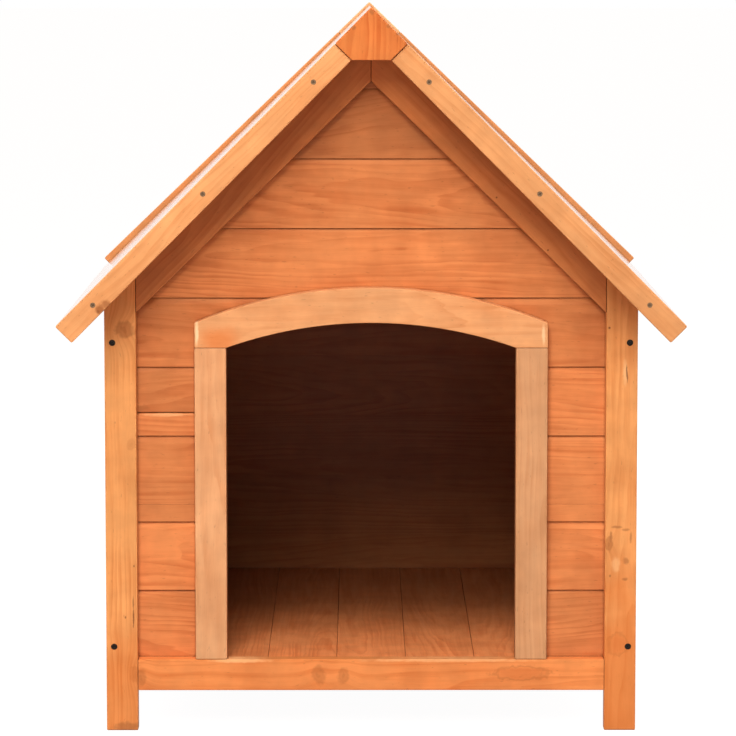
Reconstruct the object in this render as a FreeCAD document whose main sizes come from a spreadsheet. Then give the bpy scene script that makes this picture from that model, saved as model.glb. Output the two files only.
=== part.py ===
import FreeCAD, Part
import math
import os
import Sketcher

# Wooden dog house with a gable roof and an arched doorway.
# Millimetres. X is to the right, Y to the back, Z up. The origin lies on the
# ground at the middle of the house, and the doorway looks towards -Y.

os.makedirs("parts", exist_ok=True)
document = FreeCAD.newDocument("DogHouse")
sizes = document.addObject("Spreadsheet::Sheet", "Sizes")

DRIVING_SIZES = {
    # walls and their framing
    "body_width": 605,
    "body_depth": 700,
    "shoulder_height": 495,
    "roof_pitch": 44.5,
    "stock_width": 36,
    "stock_thickness": 18,
    "foot_height": 46.5,
    "side_wall_drop": 6,
    # tongue and groove boards
    "board_thickness": 8,
    "board_cover": 79,
    "bevel_height": 9,
    "bevel_depth": 3,
    "tongue_length": 4,
    "tongue_thickness": 2.4,
    "tongue_seat": 2,
    "tongue_side_clearance": 0.15,
    "tongue_end_clearance": 0.6,
    "sill_strip_height": 34.5,
    "filler_strip_height": 20,
    "split_strip_height": 27,
    # doorway
    "door_width": 329,
    "jamb_height": 357.5,
    "door_rise": 28.5,
    "header_lap": 23,
    "arch_crown": 40,
    "arch_shoulder": 28.5,
    # roof
    "skin_thickness": 8,
    "roof_board_cover": 83,
    "roof_groove": 2,
    "eave_overhang": 50,
    "gable_overhang": 75,
    "rafter_thickness": 10,
    "rafter_setback": 12,
    "barge_width": 26,
    "barge_thickness": 14,
    "front_barge_splay": 0.7,
    "rear_barge_rise": 8,
    "rear_barge_splay": 0.6,
    "rear_barge_setback": 9,
    "ridge_block_reach": 57,
    "ridge_block_proud": 3,
    # floor
    "floor_drop": 2,
    "floor_clearance": 0.5,
    "floor_groove": 1,
    # screws
    "screw_head_diameter": 7.5,
    "screw_shank_diameter": 3.5,
    "screw_head_height": 2.5,
    "screw_recess": 1,
    "corner_screw_recess": 3,
    "barge_screw_head_diameter": 6,
    "barge_screw_recess": 0.6,
    "barge_screw_length": 28,
    "barge_screw_margin": 47,
    "corner_screw_length": 40,
    "corner_screw_rise": 50.5,
    "corner_screw_drop": 49,
    "floor_screw_length": 44,
}

SIDES = {"left": -1, "right": 1}
ENDS = {"front": -1, "rear": 1}
FLOOR_BEARERS = {"front": -1, "middle": 0, "rear": 1}
BARGE_SCREWS = 3
BOARDS_OVER_FILLER = 2
SHORTEST_RIP = 4
BEYOND = 200


def fill_sheet():
    for row, (alias, number) in enumerate(DRIVING_SIZES.items(), start=1):
        sizes.set(f"A{row}", alias)
        sizes.set(f"B{row}", str(number))
        sizes.setAlias(f"B{row}", alias)
    document.recompute()


def size(alias):
    return f"Sizes.{alias}"


def value(expression):
    """The present value of an expression on the sheet's sizes."""
    result = sizes.evalExpression(expression)
    return float(getattr(result, "Value", result))


fill_sheet()

# Sizes that follow from the driving ones, as expressions on the sheet.
SLOPE = "tan(Sizes.roof_pitch)"
COSINE = "cos(Sizes.roof_pitch)"
SINE = "sin(Sizes.roof_pitch)"
HALF_WIDTH = "Sizes.body_width / 2"
HALF_DEPTH = "Sizes.body_depth / 2"
POST_INNER = "(Sizes.body_width / 2 - Sizes.stock_width)"
FRAME_BACK = "(Sizes.body_depth / 2 - Sizes.stock_thickness)"
SIDE_FRAME_INNER = "(Sizes.body_width / 2 - Sizes.stock_thickness)"
SIDE_BOARD_INNER = f"({SIDE_FRAME_INNER} - Sizes.board_thickness)"
BOARD_BACK = f"({FRAME_BACK} - Sizes.board_thickness)"
GABLE_TOP = f"(Sizes.shoulder_height + Sizes.body_width / 2 * {SLOPE})"
GABLE_BOTTOM = f"({GABLE_TOP} - Sizes.stock_width / {COSINE})"
RIDGE_TOP = f"({GABLE_TOP} + (Sizes.rafter_thickness + Sizes.skin_thickness) / {COSINE})"
EAVE_X = "(Sizes.body_width / 2 + Sizes.eave_overhang)"
SLOPE_LENGTH = f"({EAVE_X} / {COSINE})"
EAVE_Z = f"({RIDGE_TOP} - {EAVE_X} * {SLOPE})"
BARGE_FACE = "(Sizes.body_depth / 2 + Sizes.gable_overhang - Sizes.ridge_block_proud)"
BARGE_BACK = f"({BARGE_FACE} - Sizes.barge_thickness)"
RAIL_TOP = "(Sizes.foot_height + Sizes.stock_width)"
SIDE_WALL_TOP = "(Sizes.shoulder_height - Sizes.side_wall_drop)"
JAMB_TOP = f"({RAIL_TOP} + Sizes.jamb_height)"
DOOR_CROWN = f"({JAMB_TOP} + Sizes.door_rise)"
HEADER_BOTTOM = f"({JAMB_TOP} - Sizes.header_lap)"
HALF_DOOR = "Sizes.door_width / 2"
HALF_DOORCASE = "(Sizes.door_width / 2 + Sizes.stock_width)"
FLOOR_TOP = f"({RAIL_TOP} - Sizes.floor_drop)"
BEARER_TOP = f"({FLOOR_TOP} - Sizes.board_thickness)"
BEARER_MIDDLE = f"({BEARER_TOP} - Sizes.stock_thickness / 2)"
SIDE_RAIL_LENGTH = f"(2 * {FRAME_BACK} - 2 * Sizes.stock_width)"
LAST_BEARER = f"({BOARD_BACK} - Sizes.stock_width)"

sub_parts = []


def keep(item, node):
    item.Label = node
    sub_parts.append(item)
    return item


def place(item, base, axis=(0, 0, 1), angle="0"):
    """Bind an object's position and its turn about one axis to expressions."""
    turn = FreeCAD.Rotation(FreeCAD.Vector(*axis), value(angle))
    spot = FreeCAD.Vector(*[value(part) for part in base])
    item.Placement = FreeCAD.Placement(spot, turn)
    for name, expression in zip("xyz", base):
        item.setExpression(f"Placement.Base.{name}", expression)
    if value(angle) != 0:
        item.setExpression("Placement.Rotation.Angle", angle)


def origin_plane(body, role):
    return next(item for item in body.Origin.OriginFeatures if item.Role == role)


def outline_sketch(body, role, corners):
    """A closed outline whose every corner is held by two bound distances."""
    sketch = body.newObject("Sketcher::SketchObject", f"{body.Name}_outline")
    sketch.AttachmentSupport = [(origin_plane(body, role), "")]
    sketch.MapMode = "FlatFace"
    points = [FreeCAD.Vector(value(x), value(y), 0) for x, y in corners]
    count = len(points)
    for index in range(count):
        sketch.addGeometry(Part.LineSegment(points[index], points[(index + 1) % count]))
    for index in range(count):
        joint = Sketcher.Constraint("Coincident", index, 2, (index + 1) % count, 1)
        sketch.addConstraint(joint)
    for index, (x, y) in enumerate(corners):
        for kind, number, expression in (
            ("DistanceX", points[index].x, x),
            ("DistanceY", points[index].y, y),
        ):
            held = Sketcher.Constraint(kind, -1, 1, index, 1, number)
            place_in_list = sketch.addConstraint(held)
            sketch.setExpression(f"Constraints[{place_in_list}]", expression)
    return sketch


def prism(name, role, corners, length, **placing):
    """A body padded both ways from the middle of its own outline."""
    body = document.addObject("PartDesign::Body", name)
    sketch = outline_sketch(body, role, corners)
    pad = body.newObject("PartDesign::Pad", f"{name}_pad")
    pad.Profile = sketch
    pad.Midplane = True
    pad.setExpression("Length", length)
    sketch.Visibility = False
    body.Tip = pad
    place(body, **placing)
    return body


def box(name, low, high):
    """A rectangular stick between two corners given as expressions."""
    item = document.addObject("Part::Box", name)
    for side, near, far in zip(("Length", "Width", "Height"), low, high):
        item.setExpression(side, f"({far}) - ({near})")
    place(item, low)
    return item


def group(name, members):
    item = document.addObject("Part::Compound", name)
    item.Links = members
    return item


def cut(name, base, tool):
    item = document.addObject("Part::Cut", name)
    item.Base = base
    item.Tool = tool
    return item


def common(name, base, tool):
    item = document.addObject("Part::Common", name)
    item.Base = base
    item.Tool = tool
    return item


def mirrored(side, expression):
    return f"{side} * ({expression})"


def between(side, near, far):
    """Two expressions along X or Y, lowest first, on one side of the middle."""
    first, second = (near, far) if side > 0 else (far, near)
    return mirrored(side, first), mirrored(side, second)


# ---------------------------------------------------------------- boards

def board_section(cover, thickness, bevel=None, groove=True, top="tongue"):
    """Corners (across, out) of a board: across its cover, out from its back."""
    seat = size("tongue_seat")
    face = f"({seat} + Sizes.tongue_thickness)"
    slack = size("tongue_side_clearance")
    deep = "(Sizes.tongue_length + Sizes.tongue_end_clearance)"
    corners = [("0", "0")]
    if groove:
        corners += [("0", f"{seat} - {slack}"), (deep, f"{seat} - {slack}")]
        corners += [(deep, f"{face} + {slack}"), ("0", f"{face} + {slack}")]
    corners.append(("0", thickness))
    if bevel:
        bevel_height, bevel_depth = bevel
        corners.append((f"{cover} - {bevel_height}", thickness))
        corners.append((cover, f"{thickness} - {bevel_depth}"))
    else:
        corners.append((cover, thickness))
    if top == "tongue":
        tip = f"{cover} + Sizes.tongue_length"
        corners += [(cover, face), (tip, face), (tip, seat), (cover, seat)]
    if top == "mitre":
        corners.append((f"{cover} - {thickness} * {SLOPE}", "0"))
    else:
        corners.append((cover, "0"))
    return corners


def rows(total, cover):
    """Start and cover of each board laid over a total, the last one ripped."""
    full = value(total) / value(cover)
    count = math.ceil(full - SHORTEST_RIP / value(cover))
    laid = []
    for index in range(count):
        start = f"{index} * {cover}"
        last = index == count - 1
        laid.append((start, f"({total} - {start})" if last else cover, last))
    return laid


BEVEL = (size("bevel_height"), size("bevel_depth"))


def wall_board(name, cover, length, middle, bottom, angle, **shape):
    """A wall board whose outer face looks to -Y before it is turned."""
    section = board_section(cover, size("board_thickness"), **shape)
    corners = [(f"-({out})", across) for across, out in section]
    base = (middle[0], middle[1], bottom)
    return prism(name, "YZ_Plane", corners, length, base=base, angle=angle)


def side_siding():
    height = f"({SIDE_WALL_TOP} - Sizes.foot_height)"
    for name, side in SIDES.items():
        back = mirrored(side, SIDE_BOARD_INNER)
        boards = []
        for index, (start, cover, last) in enumerate(rows(height, size("board_cover"))):
            boards.append(wall_board(
                f"{name}_board_{index + 1}", cover, f"2 * {BOARD_BACK}", (back, "0"),
                f"Sizes.foot_height + {start}", str(90 * side),
                bevel=None if last else BEVEL, top="plain" if last else "tongue"))
        keep(cut(f"{name}_siding", group(f"{name}_boards", boards), floor_screw_holes),
             f"{name}_siding")


def gable_envelope():
    """All that lies below the top of the gable rails, between the side frames."""
    half = SIDE_FRAME_INNER
    corner = f"{GABLE_TOP} - {half} * {SLOPE}"
    outline = [(f"-{half}", "0"), (half, "0"), (half, corner)]
    outline += [("0", GABLE_TOP), (f"-{half}", corner)]
    return prism("gable_envelope", "XZ_Plane", outline, "Sizes.body_depth",
                 base=("0", "0", "0"))


def rear_siding():
    height = f"({GABLE_TOP} - Sizes.foot_height)"
    shoulder = f"({GABLE_TOP} - {SIDE_FRAME_INNER} * {SLOPE})"
    lower = []
    upper = []
    for index, (start, cover, last) in enumerate(rows(height, size("board_cover"))):
        bottom = f"Sizes.foot_height + {start}"
        board = wall_board(
            f"rear_board_{index + 1}", cover, f"2 * {SIDE_FRAME_INNER}", ("0", BOARD_BACK),
            bottom, "180", bevel=None if last else BEVEL, top="plain" if last else "tongue")
        reach = f"{bottom} + {cover} + Sizes.tongue_length"
        is_gable = value(reach) > value(shoulder)
        (upper if is_gable else lower).append(board)
    keep(group("rear_wall_siding", lower), "rear_wall_siding")
    keep(common("rear_gable_siding", group("rear_gable_boards", upper), gable),
         "rear_gable_siding")


def front_rows_beside_door():
    """Bottom, cover and shape of each board beside the door, from the lowest up.

    Whole boards hang down from the header board, with a filler strip under the
    second one, and the lowest board is ripped to what is left above the sill.
    """
    cover = size("board_cover")
    sill_top = "(Sizes.foot_height + Sizes.sill_strip_height)"
    boarded = f"({HEADER_BOTTOM} - {sill_top} - Sizes.filler_strip_height)"
    whole = {"bevel": BEVEL}
    plain = {"bevel": None, "top": "plain"}
    lower = []
    for index, (start, board_cover, last) in enumerate(rows(boarded, cover)):
        if index >= BOARDS_OVER_FILLER:
            bottom = f"({HEADER_BOTTOM} - Sizes.filler_strip_height - {start} - {cover})"
            lower.insert(0, (sill_top if last else bottom, board_cover, whole))
    filler_top = f"({HEADER_BOTTOM} - {BOARDS_OVER_FILLER} * {cover})"
    filler = (f"({filler_top} - Sizes.filler_strip_height)", size("filler_strip_height"), plain)
    split = f"({HEADER_BOTTOM} - {cover})"
    shared = lower + [filler, (filler_top, cover, whole)]
    narrow_bevel = (size("bevel_depth"), size("bevel_depth"))
    left = shared + [
        (split, size("split_strip_height"), {"bevel": narrow_bevel, "top": "plain"}),
        (f"({split} + Sizes.split_strip_height)", f"({cover} - Sizes.split_strip_height)",
         {"bevel": BEVEL, "groove": False}),
    ]
    right = shared + [(split, cover, whole)]
    return {"left": left, "right": right}


def front_siding():
    back = f"-{BOARD_BACK}"
    beside = front_rows_beside_door()
    width = f"({SIDE_FRAME_INNER} - {HALF_DOOR})"
    middle = f"({SIDE_FRAME_INNER} + {HALF_DOOR}) / 2"
    sill = wall_board("front_sill_strip", size("sill_strip_height"),
                      f"2 * {SIDE_FRAME_INNER}", ("0", back), size("foot_height"), "0",
                      bevel=None, groove=False, top="plain")
    keep(sill, "front_sill_strip")
    for name, side in SIDES.items():
        boards = []
        for index, (bottom, cover, shape) in enumerate(beside[name]):
            shape = dict(shape, groove=shape.get("groove", index > 0))
            boards.append(wall_board(f"front_{name}_board_{index + 1}", cover, width,
                                     (mirrored(side, middle), back), bottom, "0", **shape))
        keep(group(f"front_{name}_siding", boards), f"front_{name}_siding")
    height = f"({GABLE_TOP} - {HEADER_BOTTOM})"
    for index, (start, cover, last) in enumerate(rows(height, size("board_cover"))):
        board = wall_board(
            f"front_upper_board_{index + 1}", cover, f"2 * {SIDE_FRAME_INNER}", ("0", back),
            f"{HEADER_BOTTOM} + {start}", "0",
            bevel=None if last else BEVEL, top="plain" if last else "tongue")
        if index == 0:
            keep(cut("front_header_board", common("header_to_slope", board, gable), doorway),
                 "front_header_board")
        else:
            node = f"front_gable_board_{index}"
            keep(common(node, board, gable), node)


# ---------------------------------------------------------------- doorway

def doorway_opening():
    """The free space of the doorway, with its low arched head."""
    radius = f"(({HALF_DOOR})^2 + Sizes.door_rise^2) / (2 * Sizes.door_rise)"
    block = box("doorway_block", (f"-{HALF_DOOR}", f"-{HALF_DEPTH}", RAIL_TOP),
                (HALF_DOOR, f"-{BOARD_BACK}", f"{DOOR_CROWN} + {BEYOND}"))
    curve = arch_cylinder("doorway_curve", radius, DOOR_CROWN)
    return common("doorway_opening", block, curve)


def arch_cylinder(name, radius, crown):
    item = document.addObject("Part::Cylinder", name)
    item.setExpression("Radius", radius)
    item.setExpression("Height", HALF_DEPTH)
    place(item, ("0", "0", f"{crown} - {radius}"), axis=(1, 0, 0), angle="90")
    return item


def door_casing():
    front = f"-{HALF_DEPTH}"
    back = f"-{FRAME_BACK}"
    for name, side in SIDES.items():
        low, high = between(side, HALF_DOOR, HALF_DOORCASE)
        jamb = box(f"{name}_door_jamb", (low, front, RAIL_TOP), (high, back, JAMB_TOP))
        keep(jamb, f"{name}_door_jamb")
    outer_rise = f"({size('door_rise')} + Sizes.arch_crown - Sizes.arch_shoulder)"
    radius = f"({HALF_DOORCASE}^2 + {outer_rise}^2) / (2 * {outer_rise})"
    crown = f"({DOOR_CROWN} + Sizes.arch_crown)"
    block = box("arch_block", (f"-{HALF_DOORCASE}", front, JAMB_TOP),
                (HALF_DOORCASE, back, f"{crown} + {BEYOND}"))
    curve = arch_cylinder("arch_curve", radius, crown)
    blank = common("arch_blank", block, curve)
    keep(cut("door_arch", blank, doorway), "door_arch")


# ---------------------------------------------------------------- framing

def end_frames():
    """Posts, bottom rail and the two gable rails of the front and rear walls."""
    for end_name, end in ENDS.items():
        near, far = between(end, FRAME_BACK, HALF_DEPTH)
        middle = mirrored(end, f"{HALF_DEPTH} - Sizes.stock_thickness / 2")
        low = (f"-{POST_INNER}", near, size("foot_height"))
        keep(box(f"{end_name}_bottom_rail", low, (POST_INNER, far, RAIL_TOP)),
             f"{end_name}_bottom_rail")
        for side_name, side in SIDES.items():
            node = f"{end_name}_{side_name}_post"
            outline = [(mirrored(side, POST_INNER), "0"), (mirrored(side, HALF_WIDTH), "0")]
            outline.append((mirrored(side, HALF_WIDTH), size("shoulder_height")))
            outline.append((mirrored(side, POST_INNER), f"{GABLE_TOP} - {POST_INNER} * {SLOPE}"))
            post = prism(f"{node}_stick", "XZ_Plane", outline, size("stock_thickness"),
                         base=("0", middle, "0"))
            keep(cut(node, post, corner_screw_holes), node)
            node = f"{end_name}_{side_name}_gable_rail"
            foot = f"{POST_INNER} * {SLOPE}"
            outline = [("0", GABLE_BOTTOM), ("0", GABLE_TOP)]
            outline.append((mirrored(side, POST_INNER), f"{GABLE_TOP} - {foot}"))
            outline.append((mirrored(side, POST_INNER), f"{GABLE_BOTTOM} - {foot}"))
            keep(prism(node, "XZ_Plane", outline, size("stock_thickness"),
                       base=("0", middle, "0")), node)


def side_frames():
    """Two upright stiles and two rails on each side wall."""
    top = SIDE_WALL_TOP
    for side_name, side in SIDES.items():
        low, high = between(side, SIDE_FRAME_INNER, HALF_WIDTH)
        for end_name, end in ENDS.items():
            near, far = between(end, f"{FRAME_BACK} - Sizes.stock_width", FRAME_BACK)
            node = f"{side_name}_{end_name}_stile"
            stick = box(f"{node}_stick", (low, near, size("foot_height")), (high, far, top))
            keep(cut(node, stick, corner_screw_holes), node)
        half = f"({SIDE_RAIL_LENGTH} / 2)"
        node = f"{side_name}_bottom_rail"
        stick = box(f"{node}_stick", (low, f"-{half}", size("foot_height")),
                    (high, half, RAIL_TOP))
        keep(cut(node, stick, floor_screw_holes), node)
        node = f"{side_name}_top_rail"
        keep(box(node, (low, f"-{half}", f"{top} - Sizes.stock_width"), (high, half, top)),
             node)


# ---------------------------------------------------------------- floor

def bearer_middle(spot):
    return f"{spot} * ({LAST_BEARER} - Sizes.stock_width / 2)"


def floor_parts():
    width = f"(2 * {SIDE_BOARD_INNER} - 2 * Sizes.floor_clearance)"
    bevel = (size("floor_groove"), size("floor_groove"))
    boards = []
    for index, (start, cover, last) in enumerate(rows(width, size("board_cover"))):
        section = board_section(cover, size("board_thickness"), bevel=None if last else bevel,
                                groove=index > 0, top="plain" if last else "tongue")
        length = f"2 * {BOARD_BACK} - 2 * Sizes.floor_clearance"
        base = (f"{start} - {width} / 2", "0", BEARER_TOP)
        boards.append(prism(f"floor_board_{index + 1}", "XZ_Plane", section, length, base=base))
    keep(group("floor_boards", boards), "floor_boards")
    for name, spot in FLOOR_BEARERS.items():
        middle = bearer_middle(spot)
        low = (f"-{SIDE_BOARD_INNER}", f"{middle} - Sizes.stock_width / 2",
               f"{BEARER_TOP} - Sizes.stock_thickness")
        high = (SIDE_BOARD_INNER, f"{middle} + Sizes.stock_width / 2", BEARER_TOP)
        node = f"{name}_floor_bearer"
        keep(cut(node, box(f"{node}_stick", low, high), floor_screw_holes), node)


# ---------------------------------------------------------------- roof

def on_slope(side):
    """Where the roof skin's top face starts, and its turn about Y."""
    return {"base": ("0", "0", RIDGE_TOP), "axis": (0, 1, 0),
            "angle": mirrored(side, size("roof_pitch"))}


def roof_boards():
    bevel = (size("roof_groove"), size("roof_groove"))
    thickness = size("skin_thickness")
    for name, side in SIDES.items():
        boards = []
        laid = rows(SLOPE_LENGTH, size("roof_board_cover"))
        for index, (start, cover, last) in enumerate(laid):
            section = board_section(cover, thickness, bevel=None if last else bevel,
                                    groove=index > 0, top="mitre" if last else "tongue")
            corners = [(mirrored(side, f"{SLOPE_LENGTH} - {start} - ({across})"),
                        f"{out} - {thickness}") for across, out in section]
            boards.append(prism(f"{name}_roof_board_{index + 1}", "XZ_Plane", corners,
                                f"2 * {BARGE_BACK}", **on_slope(side)))
        node = f"{name}_roof_boards"
        keep(cut(node, group(f"{name}_skin", boards), barge_screw_holes), node)


def sloping_batten(name, side, middle):
    """A batten under the skin, mitred at the ridge and square at the eave."""
    top = "-Sizes.skin_thickness"
    bottom = "-(Sizes.skin_thickness + Sizes.rafter_thickness)"
    foot = mirrored(side, f"{SLOPE_LENGTH} - Sizes.rafter_setback")
    head = mirrored(side, f"Sizes.skin_thickness * {SLOPE}")
    deep_head = mirrored(side, f"(Sizes.skin_thickness + Sizes.rafter_thickness) * {SLOPE}")
    outline = [(head, top), (foot, top), (foot, bottom), (deep_head, bottom)]
    placing = on_slope(side)
    placing["base"] = ("0", middle, RIDGE_TOP)
    return prism(name, "XZ_Plane", outline, size("stock_width"), **placing)


def rafters():
    """Battens on top of the gable walls, and fly rafters behind the barge boards."""
    for end_name, end in ENDS.items():
        wall_middle = mirrored(end, f"{HALF_DEPTH} - Sizes.stock_width / 2")
        fly_middle = mirrored(end, f"{BARGE_BACK} - Sizes.stock_width / 2")
        for side_name, side in SIDES.items():
            node = f"{end_name}_{side_name}_rafter"
            keep(sloping_batten(node, side, wall_middle), node)
            node = f"{end_name}_{side_name}_fly_rafter"
            stick = sloping_batten(f"{node}_stick", side, fly_middle)
            keep(cut(node, stick, barge_screw_holes), node)


def barge_frame(end):
    """Foot of a barge board's top edge on the right slope, its turn and its length."""
    if end < 0:
        turn = "(Sizes.roof_pitch + Sizes.front_barge_splay)"
        foot_x = EAVE_X
        foot_z = EAVE_Z
    else:
        turn = "(Sizes.roof_pitch - Sizes.rear_barge_splay)"
        back = "Sizes.rear_barge_setback"
        rise = "Sizes.rear_barge_rise"
        foot_x = f"({EAVE_X} - {back} * {COSINE} + {rise} * {SINE})"
        foot_z = f"({EAVE_Z} + {back} * {SINE} + {rise} * {COSINE})"
    length = f"({foot_x} / cos({turn}) - Sizes.ridge_block_reach)"
    apex = f"({foot_z} + {foot_x} * tan({turn}))"
    return turn, foot_x, foot_z, length, apex


def barges():
    for end_name, end in ENDS.items():
        turn, foot_x, foot_z, length, _ = barge_frame(end)
        middle = mirrored(end, f"{BARGE_FACE} - Sizes.barge_thickness / 2")
        for side_name, side in SIDES.items():
            head = mirrored(-side, length)
            outline = [("0", "0"), (head, "0"), (head, "-Sizes.barge_width")]
            outline.append(("0", "-Sizes.barge_width"))
            node = f"{end_name}_{side_name}_barge_board"
            board = prism(f"{node}_stick", "XZ_Plane", outline, size("barge_thickness"),
                          base=(mirrored(side, foot_x), middle, foot_z),
                          axis=(0, 1, 0), angle=mirrored(side, turn))
            keep(cut(node, board, barge_screw_holes), node)


def ridge_blocks():
    """Five-sided blocks that the upper ends of the barge boards butt against."""
    for end_name, end in ENDS.items():
        turn, _, _, _, apex = barge_frame(end)
        wide_x = f"Sizes.ridge_block_reach * cos({turn})"
        wide_z = f"({apex} - Sizes.ridge_block_reach * sin({turn}))"
        low_x = f"({wide_x} - Sizes.barge_width * sin({turn}))"
        low_z = f"({wide_z} - Sizes.barge_width * cos({turn}))"
        outline = [("0", apex), (wide_x, wide_z), (low_x, low_z)]
        outline += [(f"-({low_x})", low_z), (f"-({wide_x})", wide_z)]
        thickness = "(Sizes.barge_thickness + Sizes.ridge_block_proud)"
        middle = mirrored(end, f"{BARGE_BACK} + {thickness} / 2")
        node = f"{end_name}_ridge_block"
        keep(prism(node, "XZ_Plane", outline, thickness, base=("0", middle, "0")), node)


# ---------------------------------------------------------------- screws

def screw(name, spot, direction, shape, is_hole):
    """A countersunk screw below the surface, or the hole that it is driven into."""
    head_diameter, recess, length = shape
    head = f"({head_diameter} / 2)"
    shank = "(Sizes.screw_shank_diameter / 2)"
    under = f"({recess} + Sizes.screw_head_height)"
    corners = [("0", "0"), (head, "0"), (head, recess)] if is_hole else [
        ("0", recess), (head, recess)]
    corners += [(shank, under), (shank, length), ("0", length)]
    body = document.addObject("PartDesign::Body", name)
    sketch = outline_sketch(body, "XZ_Plane", corners)
    turned = body.newObject("PartDesign::Revolution", f"{name}_turned")
    turned.Profile = sketch
    turned.ReferenceAxis = (sketch, ["V_Axis"])
    turned.Angle = 360
    sketch.Visibility = False
    body.Tip = turned
    axis, angle = direction
    place(body, spot, axis=axis, angle=angle)
    return body


def screw_set(name, spots, *shape):
    """The screws of one kind as a group, and the holes that they sit in."""
    screws = []
    holes = []
    for index, (spot, direction) in enumerate(spots):
        screws.append(screw(f"{name}_{index + 1}", spot, direction, shape, False))
        holes.append(screw(f"{name}_hole_{index + 1}", spot, direction, shape, True))
    keep(group(name, screws), name)
    return group(f"{name}_holes", holes)


INTO_END = {-1: ((1, 0, 0), "-90"), 1: ((1, 0, 0), "90")}
INTO_SIDE = {-1: ((0, 1, 0), "90"), 1: ((0, 1, 0), "-90")}


def corner_screw_spots():
    across = f"({SIDE_FRAME_INNER} + Sizes.stock_thickness / 2)"
    heights = ("Sizes.foot_height + Sizes.corner_screw_rise",
               "Sizes.shoulder_height - Sizes.corner_screw_drop")
    spots = []
    for end in ENDS.values():
        for side in SIDES.values():
            for height in heights:
                spot = (mirrored(side, across), mirrored(end, HALF_DEPTH), height)
                spots.append((spot, INTO_END[end]))
    return spots


def barge_screw_drop(end, length):
    """From a barge board's top edge down to its screws, which enter the fly rafter."""
    if end < 0:
        return "(Sizes.barge_width / 2)"
    middle_rise = f"(Sizes.rear_barge_rise - {length} / 2 * tan(Sizes.rear_barge_splay))"
    return f"({middle_rise} + Sizes.skin_thickness + Sizes.rafter_thickness / 2)"


def barge_screw_spots():
    spots = []
    for end in ENDS.values():
        turn, foot_x, foot_z, length, _ = barge_frame(end)
        drop = barge_screw_drop(end, length)
        for side in SIDES.values():
            for index in range(BARGE_SCREWS):
                step = f"({length} - 2 * Sizes.barge_screw_margin) / {BARGE_SCREWS - 1}"
                along = f"(Sizes.barge_screw_margin + {index} * {step})"
                x = f"{foot_x} - {along} * cos({turn}) - {drop} * sin({turn})"
                z = f"{foot_z} + {along} * sin({turn}) - {drop} * cos({turn})"
                spot = (mirrored(side, x), mirrored(end, BARGE_FACE), z)
                spots.append((spot, INTO_END[end]))
    return spots


def floor_screw_spots():
    spots = []
    for side in SIDES.values():
        for bearer in FLOOR_BEARERS.values():
            spot = (mirrored(side, HALF_WIDTH), bearer_middle(bearer), BEARER_MIDDLE)
            spots.append((spot, INTO_SIDE[side]))
    return spots


# ---------------------------------------------------------------- the house

corner_screw_holes = screw_set(
    "corner_screws", corner_screw_spots(), size("screw_head_diameter"),
    size("corner_screw_recess"), size("corner_screw_length"))
barge_screw_holes = screw_set(
    "barge_screws", barge_screw_spots(), size("barge_screw_head_diameter"),
    size("barge_screw_recess"), size("barge_screw_length"))
floor_screw_holes = screw_set(
    "floor_screws", floor_screw_spots(), size("screw_head_diameter"),
    size("screw_recess"), size("floor_screw_length"))
gable = gable_envelope()
doorway = doorway_opening()

end_frames()
side_frames()
door_casing()
front_siding()
rear_siding()
side_siding()
floor_parts()
rafters()
roof_boards()
barges()
ridge_blocks()

document.recompute()


def check_model():
    for item in document.Objects:
        if "Invalid" in item.State or "Error" in item.State:
            raise RuntimeError(f"{item.Label} failed: {item.State}")
    for item in sub_parts:
        if item.Shape.isNull() or not item.Shape.isValid() or not item.Shape.Solids:
            raise RuntimeError(f"{item.Label} has no valid solid")


def write_parts():
    for item in sub_parts:
        item.Shape.exportStep(f"parts/{item.Label}.step")
        print(f"{item.Label}: {len(item.Shape.Solids)} solid(s), {item.Shape.Volume:.0f} mm3")


check_model()
write_parts()
bounds = Part.makeCompound([item.Shape for item in sub_parts]).BoundBox
print(f"{len(sub_parts)} nodes, {bounds.XLength:.1f} x {bounds.YLength:.1f} x {bounds.ZLength:.1f} mm")
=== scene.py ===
import math
import random

import bmesh
import bpy
from mathutils import Matrix, Vector


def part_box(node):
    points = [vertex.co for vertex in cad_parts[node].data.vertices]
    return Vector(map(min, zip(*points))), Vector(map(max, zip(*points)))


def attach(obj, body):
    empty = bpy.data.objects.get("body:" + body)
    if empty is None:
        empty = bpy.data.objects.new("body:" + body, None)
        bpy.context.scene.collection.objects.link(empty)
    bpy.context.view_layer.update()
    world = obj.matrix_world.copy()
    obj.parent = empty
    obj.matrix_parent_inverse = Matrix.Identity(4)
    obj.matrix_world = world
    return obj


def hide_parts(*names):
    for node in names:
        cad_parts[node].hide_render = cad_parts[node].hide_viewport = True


# A wooden dog house. Every stick and board keeps its shape from the frame. Here
# its arrises are eased, and it gets stained, varnished softwood whose growth
# rings follow the length of each board. The screws get a cross recess. Lengths
# are in metres and colours in linear light.

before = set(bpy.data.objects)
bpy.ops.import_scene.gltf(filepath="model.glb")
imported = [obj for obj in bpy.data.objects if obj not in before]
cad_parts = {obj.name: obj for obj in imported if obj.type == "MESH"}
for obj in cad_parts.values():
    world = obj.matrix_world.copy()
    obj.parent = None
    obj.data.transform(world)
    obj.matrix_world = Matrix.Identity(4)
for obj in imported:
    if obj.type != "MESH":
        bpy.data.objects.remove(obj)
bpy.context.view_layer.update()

MM = 0.001

# ------------------------------------------------------------ measures from the frame

_, post_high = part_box("front_left_post")
_, rail_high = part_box("front_left_gable_rail")
ROOF_PITCH = math.atan2(rail_high.z - post_high.z, rail_high.x - post_high.x)

# ------------------------------------------------------------ grain directions

ALONG_X = Vector((1, 0, 0))
ALONG_Y = Vector((0, 1, 0))
ALONG_Z = Vector((0, 0, 1))
UP_RIGHT = Vector((math.cos(ROOF_PITCH), 0, math.sin(ROOF_PITCH)))
UP_LEFT = Vector((-math.cos(ROOF_PITCH), 0, math.sin(ROOF_PITCH)))


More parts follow.
